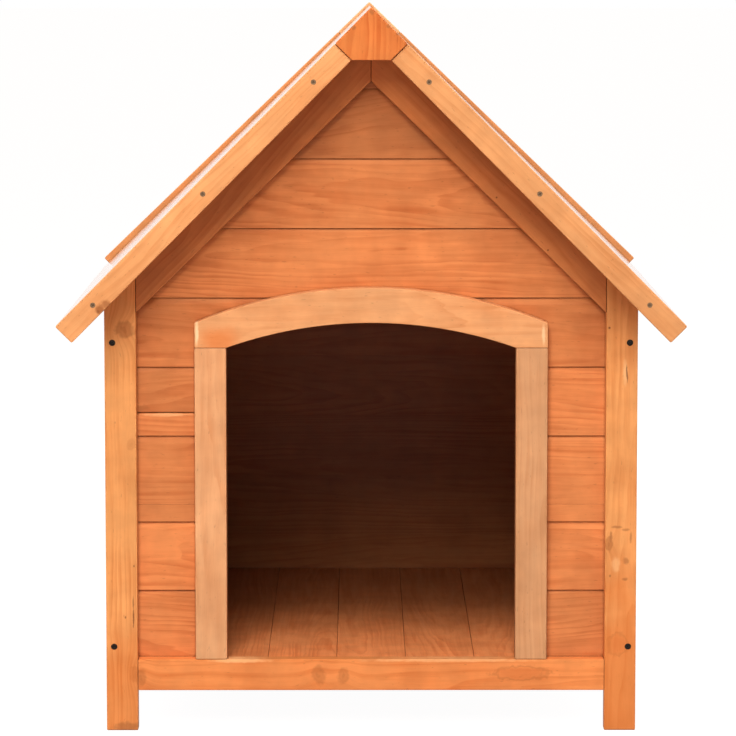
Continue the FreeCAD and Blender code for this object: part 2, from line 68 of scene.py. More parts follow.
def sloped(node):
    """The direction of a piece that follows the left or right roof slope."""
    return UP_RIGHT if "left" in node else UP_LEFT


# ------------------------------------------------------------ shader graphs

# Sockets that share a name with others of their node go by their place in it.
MIX_FACTOR, MIX_FIRST, MIX_SECOND, MIXED_COLOUR = 0, 6, 7, 2
VECTOR_OUT, VALUE_OUT = 0, 1
MIDDLE_OF_NOISE = (0.5, 0.5, 0.5)


class Graph:
    """Short calls that add nodes to a shader tree and wire them together."""

    def __init__(self, tree):
        self.nodes = tree.nodes
        self.links = tree.links
        self.nodes.clear()

    def add(self, kind, **settings):
        node = self.nodes.new(f"ShaderNode{kind}")
        for name, setting in settings.items():
            setattr(node, name, setting)
        return node

    def feed(self, socket, source):
        """Link a socket to another one, or set it to a number, vector or colour."""
        if isinstance(source, bpy.types.NodeSocket):
            self.links.new(source, socket)
        elif isinstance(source, tuple) and len(source) < len(socket.default_value):
            socket.default_value = (*source, 1)
        else:
            socket.default_value = source

    def fill(self, node, *sources):
        for socket, source in zip(node.inputs, sources):
            self.feed(socket, source)
        return node.outputs

    def show(self, shader, target="OutputMaterial"):
        self.links.new(shader.outputs[0], self.add(target).inputs["Surface"])

    def place(self):
        return self.add("TexCoord").outputs["Object"]

    def attribute(self, name, output="Fac"):
        return self.add("Attribute", attribute_name=name).outputs[output]

    def math(self, operation, *sources, clamp=False):
        return self.fill(self.add("Math", operation=operation, use_clamp=clamp), *sources)[0]

    def times(self, first, second):
        return self.math("MULTIPLY", first, second)

    def vector(self, operation, *sources, output=VECTOR_OUT):
        return self.fill(self.add("VectorMath", operation=operation), *sources)[output]

    def scale(self, vector, factor):
        node = self.add("VectorMath", operation="SCALE")
        self.feed(node.inputs[0], vector)
        self.feed(node.inputs["Scale"], factor)
        return node.outputs[0]

    def split(self, vector):
        return tuple(self.fill(self.add("SeparateXYZ"), vector))

    def join(self, x, y, z):
        return self.fill(self.add("CombineXYZ"), x, y, z)[0]

    def length(self, x, y, z):
        return self.vector("LENGTH", self.join(x, y, z), output=VALUE_OUT)

    def noise(self, vector, scale=1.0, detail=2.0, roughness=0.5, output="Fac"):
        node = self.add("TexNoise")
        self.feed(node.inputs["Vector"], vector)
        node.inputs["Scale"].default_value = scale
        node.inputs["Detail"].default_value = detail
        node.inputs["Roughness"].default_value = roughness
        return node.outputs[output]

    def log_noise(self, log, scales, **settings):
        """Noise with one scale along a log and another across and through it."""
        along, across = scales
        parts = [self.times(part, scale) for part, scale in zip(log, (along, across, across))]
        return self.noise(self.join(*parts), **settings)

    def remap(self, source, low, high, to_low=0.0, to_high=1.0, smooth=False):
        node = self.add("MapRange", interpolation_type="SMOOTHSTEP" if smooth else "LINEAR")
        return self.fill(node, source, low, high, to_low, to_high)[0]

    def mix(self, factor, first, second):
        node = self.add("Mix", data_type="RGBA")
        self.feed(node.inputs[MIX_FACTOR], factor)
        self.feed(node.inputs[MIX_FIRST], first)
        self.feed(node.inputs[MIX_SECOND], second)
        return node.outputs[MIXED_COLOUR]

    def bump(self, height, distance, strength):
        node = self.add("Bump")
        node.inputs["Strength"].default_value = strength
        node.inputs["Distance"].default_value = distance
        self.feed(node.inputs["Height"], height)
        return node.outputs[0]

    def surface(self, colour, roughness, normal, constants):
        """A principled surface. What is the same all over is set on its own sockets."""
        shader = self.add("BsdfPrincipled")
        self.feed(shader.inputs["Base Color"], colour)
        self.feed(shader.inputs["Roughness"], roughness)
        self.feed(shader.inputs["Normal"], normal)
        for name, number in constants.items():
            shader.inputs[name].default_value = number
        self.show(shader)


def new_material(name):
    """An empty material and the graph that fills it."""
    material = bpy.data.materials.new(name)
    material.use_nodes = True
    return material, Graph(material.node_tree)


# ------------------------------------------------------------ marks in the wood

# Each mark has a kind, the place of its middle (x, z) and its reach from there
# (x, z) in metres, and how strongly it shows. It goes through the piece.
MARKS = {
    "front_left_post": (
        ("knot", (-0.2793, 0.4609), (0.0115, 0.0100), 0.85),
        ("knot", (-0.2720, 0.3300), (0.0060, 0.0070), 0.35),
        ("pitch", (-0.2712, 0.1300), (0.0012, 0.0140), 0.80),
        ("pitch", (-0.2715, 0.1480), (0.0010, 0.0090), 0.60),
        ("pitch", (-0.2803, 0.1310), (0.0012, 0.0018), 0.80),
        ("pitch", (-0.2703, 0.1904), (0.0011, 0.0015), 0.65),
        ("knot", (-0.2690, 0.0640), (0.0070, 0.0120), 0.60),
        ("warm", (-0.2840, 0.0100), (0.0800, 0.1300), 0.45),
        ("shade", (-0.2790, 0.0040), (0.0180, 0.0070), 0.60),
    ),
    "front_right_post": (
        ("pale", (0.2885, 0.4120), (0.0030, 0.0170), 0.45),
        ("pitch", (0.2898, 0.4140), (0.0010, 0.0080), 0.75),
        ("pitch", (0.2908, 0.4070), (0.0010, 0.0065), 0.75),
        ("pitch", (0.2699, 0.4631), (0.0017, 0.0016), 0.90),
        ("warm", (0.2840, 0.0200), (0.0800, 0.1900), 0.60),
        ("knot", (0.2711, 0.2150), (0.0045, 0.0080), 0.80),
        ("shade", (0.2733, 0.2240), (0.0022, 0.0070), 0.65),
        ("shade", (0.2800, 0.2350), (0.0070, 0.0018), 0.60),
        ("shade", (0.2900, 0.2320), (0.0050, 0.0020), 0.55),
        ("shade", (0.2960, 0.2230), (0.0018, 0.0075), 0.55),
        ("shade", (0.2906, 0.1960), (0.0042, 0.0045), 0.60),
        ("pitch", (0.2725, 0.1787), (0.0016, 0.0018), 0.50),
        ("shade", (0.2896, 0.1752), (0.0035, 0.0022), 0.65),
        ("pale", (0.2790, 0.1920), (0.0060, 0.0100), 0.30),
        ("red", (0.2820, 0.1000), (0.0120, 0.0140), 0.45),
    ),
    "front_bottom_rail": (
        ("knot", (-0.0600, 0.0640), (0.0085, 0.0120), 0.50),
        ("knot", (-0.0320, 0.0620), (0.0080, 0.0110), 0.55),
        ("red", (0.1730, 0.0660), (0.0340, 0.0085), 0.70),
        ("knot", (-0.2630, 0.0620), (0.0070, 0.0110), 0.55),
        # the two pale lines along the rail's top edge are a painted highlight
        ("pale", (-0.1500, 0.0810), (0.0380, 0.0030), 0.60),
        ("pale", (0.0900, 0.0812), (0.1100, 0.0022), 0.50),
    ),
    "front_gable_board_3": (
        ("pale", (-0.0200, 0.6470), (0.0850, 0.0032), 0.70),
    ),
    "front_left_siding": (
        ("pale", (-0.2330, 0.3620), (0.0300, 0.0028), 0.60),
        ("shade", (-0.2620, 0.3695), (0.0120, 0.0040), 0.55),
    ),
    "front_header_board": (
        ("shade", (-0.1700, 0.4800), (0.0150, 0.0050), 0.40),
    ),
    "front_left_barge_board": (
        ("shade", (-0.3020, 0.4905), (0.0060, 0.0065), 0.95),
        ("shade", (-0.2950, 0.4965), (0.0070, 0.0055), 0.80),
        ("pitch", (-0.3045, 0.4880), (0.0022, 0.0024), 0.50),
    ),
    "front_right_gable_rail": (
        ("pitch", (0.1416, 0.6108), (0.0013, 0.0013), 0.90),
        ("pitch", (0.1999, 0.5514), (0.0013, 0.0013), 0.90),
    ),
    "front_ridge_block": (
        ("shade", (-0.0200, 0.8035), (0.0038, 0.0028), 0.75),
        ("shade", (0.0195, 0.8050), (0.0034, 0.0028), 0.75),
        ("shade", (0.0290, 0.7965), (0.0028, 0.0028), 0.70),
        ("shade", (0.0005, 0.8205), (0.0030, 0.0040), 0.70),
    ),
    "door_arch": (
        ("warm", (-0.1720, 0.4480), (0.0260, 0.0200), 0.60),
        # the pale lines at the arch's two ends are a painted highlight on its eased ends
        ("pale", (-0.1976, 0.4570), (0.0024, 0.0170), 0.70),
        ("pale", (0.1955, 0.4560), (0.0022, 0.0140), 0.45),
    ),
}

KNOT_SHADE = (0.36, 0.105, 0.024)
KNOT_HEART = (0.24, 0.062, 0.014)
BROWN_SHADE = (0.34, 0.115, 0.035)
PITCH = (0.14, 0.035, 0.008)
RED_HEART = (0.60, 0.130, 0.025)
WARM = (0.68, 0.170, 0.030)

# Of each kind: how fine and how ragged its outline is, its colour (None for the
# stain's own arris colour), how much of that shows, and its dark bands. A band
# has its middle and its half width as shares of the mark's reach, how much of it
# shows, and its colour.
MARK_KINDS = {
    "knot": (110, 1.2, KNOT_SHADE, 0.62, ((0.72, 0.40, 0.30, KNOT_HEART),
                                          (0.16, 0.30, 0.35, KNOT_HEART))),
    "shade": (180, 1.1, BROWN_SHADE, 1.0, ()),
    "pitch": (260, 1.0, PITCH, 1.0, ()),
    "red": (150, 0.9, RED_HEART, 0.55, ((0.90, 0.22, 0.45, KNOT_SHADE),)),
    "pale": (120, 0.9, None, 1.0, ()),
    "warm": (30, 0.8, WARM, 1.0, ()),
}

# a mark is whole up to the first share of its reach and gone past the second
MARK_WHOLE, MARK_GONE = 0.35, 1.15

# the grain swells out to this share of a knot's reach, by this share of it
SWELL_REACH = 1.8
SWELL_PUSH = 1.2


def shares_of_reach(graph, place, middle, reach):
    """How far a point lies from a mark's middle, in shares of the mark's reach."""
    offset = graph.vector("SUBTRACT", place, (middle[0], 0.0, middle[1]))
    return graph.vector("DIVIDE", offset, (reach[0], 1.0, reach[1]))


def ragged_distance(graph, place, middle, reach, fine, ragged):
    """The distance of a point from a mark's middle: 1 at the mark's ragged edge."""
    stray = graph.noise(place, fine, detail=3, output="Color")
    stray = graph.vector("SUBTRACT", stray, MIDDLE_OF_NOISE)
    stray = graph.vector("MULTIPLY", stray, (ragged, ragged, ragged))
    x, _, z = graph.split(graph.vector("ADD", shares_of_reach(graph, place, middle, reach), stray))
    return graph.length(x, 0.0, z)


def bend_round_knots(graph, place, across, marks):
    """The grain swells round each knot."""
    for kind, middle, reach, strength in marks:
        if kind != "knot":
            continue
        wide = tuple(SWELL_REACH * number for number in reach)
        x, _, z = graph.split(shares_of_reach(graph, place, middle, wide))
        away = graph.length(x, 0.0, z)
        push = graph.math("EXPONENT", graph.times(graph.math("POWER", away, 2.0), -1.0))
        across = graph.math("MULTIPLY_ADD", push, strength * max(reach) * SWELL_PUSH, across)
    return across


def band(graph, away, middle, half_width, strength):
    """Strongest where `away` is at the band's middle, and gone at its half width."""
    off = graph.math("ABSOLUTE", graph.math("SUBTRACT", away, middle))
    return graph.remap(off, 0.0, half_width, strength, 0.0, smooth=True)


def lay_marks(graph, place, colour, marks, arris_colour):
    """Each mark over the wood's colour, and over the marks before it."""
    for kind, middle, reach, strength in marks:
        fine, ragged, own_colour, share, bands = MARK_KINDS[kind]
        away = ragged_distance(graph, place, middle, reach, fine, ragged)
        inside = graph.remap(away, MARK_WHOLE, MARK_GONE, strength * share, 0.0, smooth=True)
        colour = graph.mix(inside, colour, own_colour or arris_colour)
        for band_middle, half_width, band_share, dark in bands:
            line = band(graph, away, band_middle, half_width, band_share * strength)
            colour = graph.mix(line, colour, dark)
    return colour


# ------------------------------------------------------------ wood

# early wood, late wood, and the colour of eased arrises and pale marks: on most stains a pale one
# that stands partly for worn wood and partly for a painted highlight, and on the front ridge block
# a darker one
STAINS = {
    "frame": ((0.78, 0.336, 0.114), (0.54, 0.155, 0.034), (1.00, 0.64, 0.32)),
    "rail": ((0.78, 0.266, 0.080), (0.56, 0.130, 0.026), (1.00, 0.56, 0.26)),
    "siding": ((0.66, 0.228, 0.075), (0.43, 0.102, 0.025), (0.92, 0.46, 0.20)),
    "barge": ((0.77, 0.352, 0.140), (0.59, 0.215, 0.068), (1.00, 0.80, 0.52)),
    # a darker copy of the barge stain for the rear barges: painted shade
    "far_barge": ((0.66, 0.300, 0.115), (0.48, 0.170, 0.050), (0.90, 0.62, 0.36)),
    "block": ((0.68, 0.208, 0.053), (0.46, 0.090, 0.016), (0.42, 0.100, 0.022)),
    # a paler copy of the block stain for the rear ridge block: painted light
    "far_block_painted_light": ((0.86, 0.500, 0.250), (0.68, 0.300, 0.110), (0.98, 0.74, 0.46)),
    "casing": ((0.70, 0.355, 0.172), (0.55, 0.225, 0.090), (0.98, 0.66, 0.38)),
    "arch": ((0.74, 0.350, 0.152), (0.58, 0.210, 0.070), (1.00, 0.74, 0.44)),
    "roof": ((0.72, 0.270, 0.085), (0.48, 0.120, 0.026), (0.88, 0.50, 0.24)),
    "floor": ((0.76, 0.250, 0.085), (0.52, 0.115, 0.028), (0.85, 0.42, 0.20)),
    "batten": ((0.68, 0.250, 0.070), (0.45, 0.110, 0.020), (0.90, 0.50, 0.22)),
}

# the scales of the noises along a log and across it, per metre
WANDER_SCALES = (2.6, 13)
STREAK_SCALES = (4.5, 130)
FIBRE_SCALES = (28, 1500)
BLOTCH_SCALES = (9, 26)
FLECK_SCALES = (140, 520)

# and of those that are as long as they are wide
CLOUD_SCALE = 16
MOTTLE_SCALE = 42

WANDER_REACH = 30 * MM
RING_SPACING = 4.2 * MM
RING_UNEVEN_SCALE = 0.45
RING_UNEVENNESS = 3.2

# the shares of a ring between which its late wood sets in and ends
LATE_SETS_IN = (0.20, 0.88)
LATE_ENDS = (0.90, 1.0)

# Each of these turns a measure from its first number to its second into a share
# or a factor from its third number to its fourth.
LATE_OF_RINGS = (0.32, 0.68, 0.06, 0.46)
LATE_OF_STREAKS = (0.38, 0.72, -0.08, 0.30)
LATE_OF_CLOUDS = (0.36, 0.66, -0.10, 0.22)
TONE_LIFT = (-1.0, 2.0, 0.52, 1.48)
BLOTCH_LIFT = (0.28, 0.72, 0.91, 1.09)
MOTTLE_LIFT = (0.32, 0.68, 0.94, 1.06)
FIBRE_LIFT = (0.2, 0.8, 0.96, 1.04)
FLECK_LIFT = (0.70, 0.78, 1.0, 0.80)
INSIDE_PAINTED_SHADE = (0.0, 1.0, 1.0, 0.5)
FLOOR_PAINTED_LIGHT_AND_SHADE = (-0.34, 0.05, 1.25, 0.50)
ARRIS_COLOUR_SHARE = (0.30, 0.62, 0.45, 1.0)
CREVICE_PAINTED_SHADE = (0.20, 0.80, 0.42, 1.0)
SATIN_ROUGHNESS = (0.3, 0.7, 0.48, 0.62)
GLOSS_ROUGHNESS = (0.3, 0.7, 0.22, 0.30)

# how far the painted shade in crevices reaches, and how many rays find it
CREVICE_REACH = 4.5 * MM
CREVICE_SAMPLES = 4

# how much the rings and fibres stand out beside the streaks
RING_HEIGHT = 0.6
FIBRE_HEIGHT = 0.25
WOOD_BUMP = 0.5
SATIN_RELIEF = 0.12 * MM
GLOSS_RELIEF = 0.01 * MM

SATIN = {"IOR": 1.48, "Specular IOR Level": 0.3,
         "Coat Weight": 0.10, "Coat Roughness": 0.28, "Coat IOR": 1.5}
GLOSS = {"IOR": 1.48, "Specular IOR Level": 0.5,
         "Coat Weight": 1.0, "Coat Roughness": 0.10, "Coat IOR": 1.5}


def growth_rings(graph, across, through):
    """1 in the late wood of each ring round the pith, 0 in its early wood."""
    turns = graph.math("DIVIDE", graph.length(0.0, across, through), RING_SPACING)
    uneven = graph.noise(graph.join(0.0, 0.0, graph.times(turns, RING_UNEVEN_SCALE)))
    turns = graph.math("MULTIPLY_ADD", uneven, RING_UNEVENNESS, turns)
    phase = graph.math("FRACT", turns)
    rise = graph.remap(phase, *LATE_SETS_IN, smooth=True)
    fall = graph.remap(phase, *LATE_ENDS, 1.0, 0.0, smooth=True)
    return graph.times(rise, fall)


def wood_material(stain, node):
    """Stained and varnished softwood. It reads four attributes of a dressed piece:
    grain (along, across and through the log, in metres), tone, arris, and
    painted_inside_shade for the faces that are painted darker inside the cabin."""
    early, late, arris_colour = STAINS[stain]
    marks = MARKS.get(node, ())
    material, graph = new_material(f"wood_{stain}_{node}" if marks else f"wood_{stain}")
    place = graph.place()
    tone = graph.attribute("tone")
    arris = graph.attribute("arris")
    painted_inside_shade = graph.attribute("painted_inside_shade")
    along, across, through = graph.split(graph.attribute("grain", "Vector"))
    across = bend_round_knots(graph, place, across, marks)
    straight = (along, across, through)

    wander = graph.log_noise(straight, WANDER_SCALES, detail=4, output="Color")
    wander = graph.vector("SUBTRACT", wander, MIDDLE_OF_NOISE)
    shift_across, shift_through, _ = graph.split(wander)
    bent = (along,
            graph.math("MULTIPLY_ADD", shift_across, WANDER_REACH, across),
            graph.math("MULTIPLY_ADD", shift_through, WANDER_REACH, through))

    ring = growth_rings(graph, *bent[1:])
    streak = graph.log_noise(bent, STREAK_SCALES, detail=4, roughness=0.6)
    fibre = graph.log_noise(straight, FIBRE_SCALES)
    blotch = graph.log_noise(bent, BLOTCH_SCALES, detail=4)
    fleck = graph.log_noise(straight, FLECK_SCALES, detail=1)
    cloud = graph.noise(place, CLOUD_SCALE, detail=3)
    mottle = graph.noise(place, MOTTLE_SCALE)

    late_share = graph.times(ring, graph.remap(blotch, *LATE_OF_RINGS))
    for source, shares in ((streak, LATE_OF_STREAKS), (cloud, LATE_OF_CLOUDS)):
        late_share = graph.math("ADD", late_share, graph.remap(source, *shares), clamp=True)
    lift = graph.remap(tone, *TONE_LIFT)
    # The siding's faces that look into the cabin come out at half their colour: painted shade.
    for source, factors in ((blotch, BLOTCH_LIFT), (mottle, MOTTLE_LIFT), (fibre, FIBRE_LIFT),
                            (painted_inside_shade, INSIDE_PAINTED_SHADE)):
        lift = graph.times(lift, graph.remap(source, *factors))
    lift = graph.times(lift, graph.remap(fleck, *FLECK_LIFT, smooth=True))
    # Painted light and shade: the floor is lighter near the doorway and darker towards the back of
    # the cabin.
    if stain == "floor":
        _, depth, _ = graph.split(place)
        lift = graph.times(lift, graph.remap(depth, *FLOOR_PAINTED_LIGHT_AND_SHADE))
    colour = graph.scale(graph.mix(late_share, early, late), lift)
    colour = lay_marks(graph, place, colour, marks, arris_colour)
    # The eased arrises take on the arris colour in streaky patches. Where it is pale, it is partly
    # worn wood and partly a painted highlight.
    arris_share = graph.math("MULTIPLY", arris, graph.remap(streak, *ARRIS_COLOUR_SHARE), clamp=True)
    colour = graph.mix(arris_share, colour, arris_colour)

    # Painted shade: the colour darkens where ambient occlusion finds other surfaces close by, in
    # crevices, seams and joints.
    occlusion = graph.add("AmbientOcclusion", samples=CREVICE_SAMPLES)
    occlusion.inputs["Distance"].default_value = CREVICE_REACH
    colour = graph.scale(colour, graph.remap(occlusion.outputs["AO"], *CREVICE_PAINTED_SHADE, smooth=True))

    shiny = stain == "roof"
    height = graph.math("MULTIPLY_ADD", ring, RING_HEIGHT, streak)
    height = graph.math("MULTIPLY_ADD", fibre, FIBRE_HEIGHT, height)
    graph.surface(colour,
                  graph.remap(streak, *(GLOSS_ROUGHNESS if shiny else SATIN_ROUGHNESS)),
                  graph.bump(height, GLOSS_RELIEF if shiny else SATIN_RELIEF, WOOD_BUMP),
                  GLOSS if shiny else SATIN)
    return material


# ------------------------------------------------------------ metal

METAL_MOTTLE_SCALE = 900
METAL_MOTTLE_RANGE = (0.3, 0.7)
METAL_DULLNESS = 0.5
METAL_RELIEF = 0.05 * MM
METAL_BUMP = 0.4
ROUGHNESS_SPREAD = 0.2


def metal_material(name, colour, metallic, roughness):
    material, graph = new_material(name)
    mottle = graph.noise(graph.place(), METAL_MOTTLE_SCALE, detail=3)
    dull = tuple(channel * METAL_DULLNESS for channel in colour)
    roughest = roughness + ROUGHNESS_SPREAD
    graph.surface(graph.mix(mottle, dull, colour),
                  graph.remap(mottle, *METAL_MOTTLE_RANGE, roughness, roughest),
                  graph.bump(mottle, METAL_RELIEF, METAL_BUMP),
                  {"Metallic": metallic})
    return material


# ------------------------------------------------------------ meshes

SAME_PLACE = 0.01 * MM
FLAT = math.radians(0.4)
SHARP = math.radians(28)

# a group of no more faces than this is a patch where two boards touch
MOST_PATCH_FACES = 4


def cad_mesh(node):
    """A node's CAD mesh, with the vertices that share a place merged."""
    mesh = bmesh.new()
    mesh.from_mesh(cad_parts[node].data)
    bmesh.ops.remove_doubles(mesh, verts=mesh.verts, dist=SAME_PLACE)
    return mesh


def join_flat_faces(mesh):
    bmesh.ops.dissolve_limit(mesh, angle_limit=FLAT, verts=mesh.verts, edges=mesh.edges)
    mesh.normal_update()


def new_piece(mesh, name, material):
    """An object of its own for a finished mesh, smooth but for its sharp edges."""
    for edge in mesh.edges:
        edge.smooth = edge.calc_face_angle(math.pi) < SHARP
    for face in mesh.faces:
        face.smooth = True
    data = bpy.data.meshes.new(name)
    mesh.to_mesh(data)
    mesh.free()
    data.materials.append(material)
    piece = bpy.data.objects.new(name, data)
    bpy.context.scene.collection.objects.link(piece)
    return piece


def middle_of(faces):
    return sum((face.calc_center_median() for face in faces), Vector()) / len(faces)


def gather(start, neighbours, seen):
    """All that can be reached from `start`, which is added to `seen`."""
    seen.add(start)
    members = [start]
    for member in members:
        for other in neighbours(member):
            if other not in seen:
                seen.add(other)
                members.append(other)
    return members


def groups(elements, neighbours):
    seen = set()
    return [gather(start, neighbours, seen) for start in elements if start not in seen]


def faces_beside(face):
    """The faces across a face's edges, but not where two solids touch."""
    for edge in face.edges:
        if len(edge.link_faces) == 2:
            yield from edge.link_faces


def vertices_beside(vertex):
    return (edge.other_vert(vertex) for edge in vertex.link_edges)


def part_solids(mesh):
    """Boards that touch each other get vertices of their own. A patch that touches
    on all its edges goes with the board that it looks away from."""
    shells = groups(mesh.faces, faces_beside)
    bodies = [members for members in shells if len(members) > MOST_PATCH_FACES]
    patches = [members for members in shells if len(members) <= MOST_PATCH_FACES]
    middles = [middle_of(members) for members in bodies]
    owners = {face: index for index, members in enumerate(bodies) for face in members}
    for patch in patches:
        beside = sorted({owners[other] for face in patch for edge in face.edges
                         for other in edge.link_faces if other in owners})
        place = middle_of(patch)
        outward = patch[0].normal
        best = max(beside, key=lambda index: (place - middles[index]).dot(outward))
        bodies[best].extend(patch)
    for members in bodies[1:]:
        bmesh.ops.split(mesh, geom=members)


def islands(mesh):
    """Groups of joined vertices, from the lowest up, and then by y and x."""
    def place(members):
        middle = sum((vertex.co for vertex in members), Vector()) / len(members)
        return tuple(round(number, 4) for number in (middle.z, middle.y, middle.x))

    return sorted(groups(mesh.verts, vertices_beside), key=place)


# ------------------------------------------------------------ dressed pieces

CABIN_MIDDLE = Vector((0, 0, 0.35))
LOOKS_INWARD = 0.35
SHORTEST_EASED_EDGE = 12 * MM
NARROWEST_EASED_FACE = 4 * MM
EASING_SEGMENTS = 2

# a direction that follows an axis by less than this goes across the board
MOSTLY_ACROSS = 0.5

# how far the pith of a board's log lies from its middle, how much the board
# leans from the pith per metre, and how far along the log it was cut
PITH_ACROSS = 0.045
PITH_THROUGH = (0.018, 0.075)
LEAN_ACROSS = 0.035
LEAN_THROUGH = 0.05
CUT_ALONG = 20


def eased_edges(mesh):
    """The long outward corners of a board, but not those of its tongue and groove."""
    chosen = []
    for edge in mesh.edges:
        if len(edge.link_faces) != 2 or edge.calc_length() < SHORTEST_EASED_EDGE:
            continue
        if not edge.is_convex or edge.calc_face_angle(0.0) < SHARP:
            continue
        widths = [face.calc_area() / edge.calc_length() for face in edge.link_faces]
        if min(widths) >= NARROWEST_EASED_FACE:
            chosen.append(edge)
    return chosen


def log_axes(direction, low, high):
    """The along, across and through directions of a board that fills a box."""
    along = direction.normalized()
    crosswise = [axis for axis in range(3) if abs(along[axis]) < MOSTLY_ACROSS]
    thin = min(crosswise, key=lambda axis: high[axis] - low[axis])
    through = Vector([1.0 if axis == thin else 0.0 for axis in range(3)])
    through = (through - along * through.dot(along)).normalized()
    return along, through.cross(along).normalized(), through


def lay_grain(mesh, node, direction, tones):
    """Each board gets a place in a log of its own, and a tone."""
    grain = mesh.verts.layers.float_vector.new("grain")
    tone = mesh.verts.layers.float.new("tone")
    for index, members in enumerate(islands(mesh)):
        draw = random.Random(f"{node} {index}")
        low = [min(vertex.co[axis] for vertex in members) for axis in range(3)]
        high = [max(vertex.co[axis] for vertex in members) for axis in range(3)]
        along, across, through = log_axes(direction, low, high)
        middle = (Vector(low) + Vector(high)) / 2
        pith_across = draw.uniform(-PITH_ACROSS, PITH_ACROSS)
        pith_through = draw.uniform(*PITH_THROUGH) * draw.choice((-1, 1))
        lean_across = draw.uniform(-LEAN_ACROSS, LEAN_ACROSS)
        lean_through = draw.uniform(-LEAN_THROUGH, LEAN_THROUGH)
        shift = draw.uniform(-CUT_ALONG, CUT_ALONG)
        board_tone = tones[index] if index < len(tones) else draw.random()
        for vertex in members:
            offset = vertex.co - middle
            run = offset.dot(along)
            vertex[grain] = (run + shift,
                             offset.dot(across) + pith_across + run * lean_across,
                             offset.dot(through) + pith_through + run * lean_through)
            vertex[tone] = board_tone


def tell_faces(mesh, rounded, has_inside):
    """Which faces are eased arrises, and which of a wall's faces look into the cabin, to be
    painted darker there as shade.
    """
    arris = mesh.faces.layers.float.new("arris")
    painted_inside_shade = mesh.faces.layers.float.new("painted_inside_shade")
    for face in mesh.faces:
        inward = (CABIN_MIDDLE - face.calc_center_median()).normalized()
        looks_in = has_inside and face.normal.dot(inward) > LOOKS_INWARD
        face[arris] = 1.0 if face in rounded else 0.0
        face[painted_inside_shade] = 1.0 if looks_in else 0.0


materials = {}


def wood_for(stain, node):
    """The stain's material, or one of the node's own where it has marks."""
    key = (stain, node if node in MARKS else None)
    if key not in materials:
        materials[key] = wood_material(*key)
    return materials[key]


def dress(node, direction, stain, easing, *tones):
    """A copy of a CAD node with eased arrises and with its grain laid out. The
    tones are those of its boards, from the lowest up, and the rest draw theirs."""
    mesh = cad_mesh(node)
    part_solids(mesh)
    join_flat_faces(mesh)
    eased = bmesh.ops.bevel(mesh, geom=eased_edges(mesh), offset=easing, segments=EASING_SEGMENTS,
                            profile=0.5, affect="EDGES", clamp_overlap=True)
    rounded = set(eased["faces"])
    lay_grain(mesh, node, direction, tones)
    tell_faces(mesh, rounded, stain == "siding")
    piece = new_piece(mesh, f"{node}_wood", wood_for(stain, node))
    evened = piece.modifiers.new("even_shading", "WEIGHTED_NORMAL")
    evened.keep_sharp = True
    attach(piece, "root")
    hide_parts(node)


SIDE_NAMES = ("left", "right")
END_NAMES = ("front", "rear")
STICK_EASING = 1.3 * MM
BOARD_EASING = 0.7 * MM
BARGE_EASING = 1.6 * MM
# The rear barges and ridge block get darker and paler copies of the front ones' stains: painted
# shade and painted light.
BARGE_STAINS = {"front": "barge", "rear": "far_barge"}
BLOCK_STAINS = {"front": "block", "rear": "far_block_painted_light"}

# the tones are 0 for dark and 1 for light, and may go past both
END_RAIL_TONE = 0.6
BLOCK_TONE = 0.4
POST_TONE = 0.5
ARCH_TONE = 0.5
BARGE_TONES = {"left": 0.5, "right": 0.15}
# The gable rails sit under the barges and are toned dark, the left one darker: painted shade.
GABLE_RAIL_PAINTED_SHADE_TONES = {"left": -0.5, "right": -0.3}
# The left jamb is toned lighter and the right one darker: painted light from the left.
JAMB_PAINTED_LIGHT_TONES = {"left": 0.65, "right": 0.15}
END_SIDING_TONES = {
    "front_left_siding": (0.65, 0.95, 0.3, 0.28, 0.6, 0.12),
    "front_right_siding": (0.35, 0.8, 0.65, 0.65, 0.75),
    "front_sill_strip": (),
    "front_header_board": (0.35,),
    "front_gable_board_1": (0.55,),
    "front_gable_board_2": (0.45,),
    # The two top gable boards under the ridge are toned dark: painted shade of the roof's
    # overhang.
    "front_gable_board_3": (-0.2,),
    "front_gable_board_4": (-0.55,),
    "rear_wall_siding": (),
    "rear_gable_siding": (),
}

for end in END_NAMES:
    dress(f"{end}_bottom_rail", ALONG_X, "rail", STICK_EASING, END_RAIL_TONE)
    dress(f"{end}_ridge_block", ALONG_Z, BLOCK_STAINS[end], STICK_EASING, BLOCK_TONE)
    for side in SIDE_NAMES:
        dress(f"{end}_{side}_post", ALONG_Z, "frame", STICK_EASING, POST_TONE)
        dress(f"{end}_{side}_gable_rail", sloped(side), "rail", STICK_EASING,
              GABLE_RAIL_PAINTED_SHADE_TONES[side])
        dress(f"{end}_{side}_rafter", sloped(side), "batten", BOARD_EASING)
        dress(f"{end}_{side}_fly_rafter", sloped(side), "batten", BOARD_EASING)
        dress(f"{end}_{side}_barge_board", sloped(side), BARGE_STAINS[end], BARGE_EASING,
              BARGE_TONES[side])
for side in SIDE_NAMES:
    dress(f"{side}_bottom_rail", ALONG_Y, "rail", STICK_EASING)
    dress(f"{side}_top_rail", ALONG_Y, "frame", STICK_EASING)
    dress(f"{side}_front_stile", ALONG_Z, "frame", STICK_EASING)
    dress(f"{side}_rear_stile", ALONG_Z, "frame", STICK_EASING)
    dress(f"{side}_siding", ALONG_Y, "siding", BOARD_EASING)
    dress(f"{side}_roof_boards", ALONG_Y, "roof", BOARD_EASING)
for side in SIDE_NAMES:
    dress(f"{side}_door_jamb", ALONG_Z, "casing", STICK_EASING, JAMB_PAINTED_LIGHT_TONES[side])
dress("door_arch", ALONG_X, "arch", STICK_EASING, ARCH_TONE)
for node, tones in END_SIDING_TONES.items():
    dress(node, ALONG_X, "siding", BOARD_EASING, *tones)
dress("floor_boards", ALONG_Y, "floor", BOARD_EASING)
for spot in ("front", "middle", "rear"):
    dress(f"{spot}_floor_bearer", ALONG_X, "batten", BOARD_EASING)

# ------------------------------------------------------------ screws

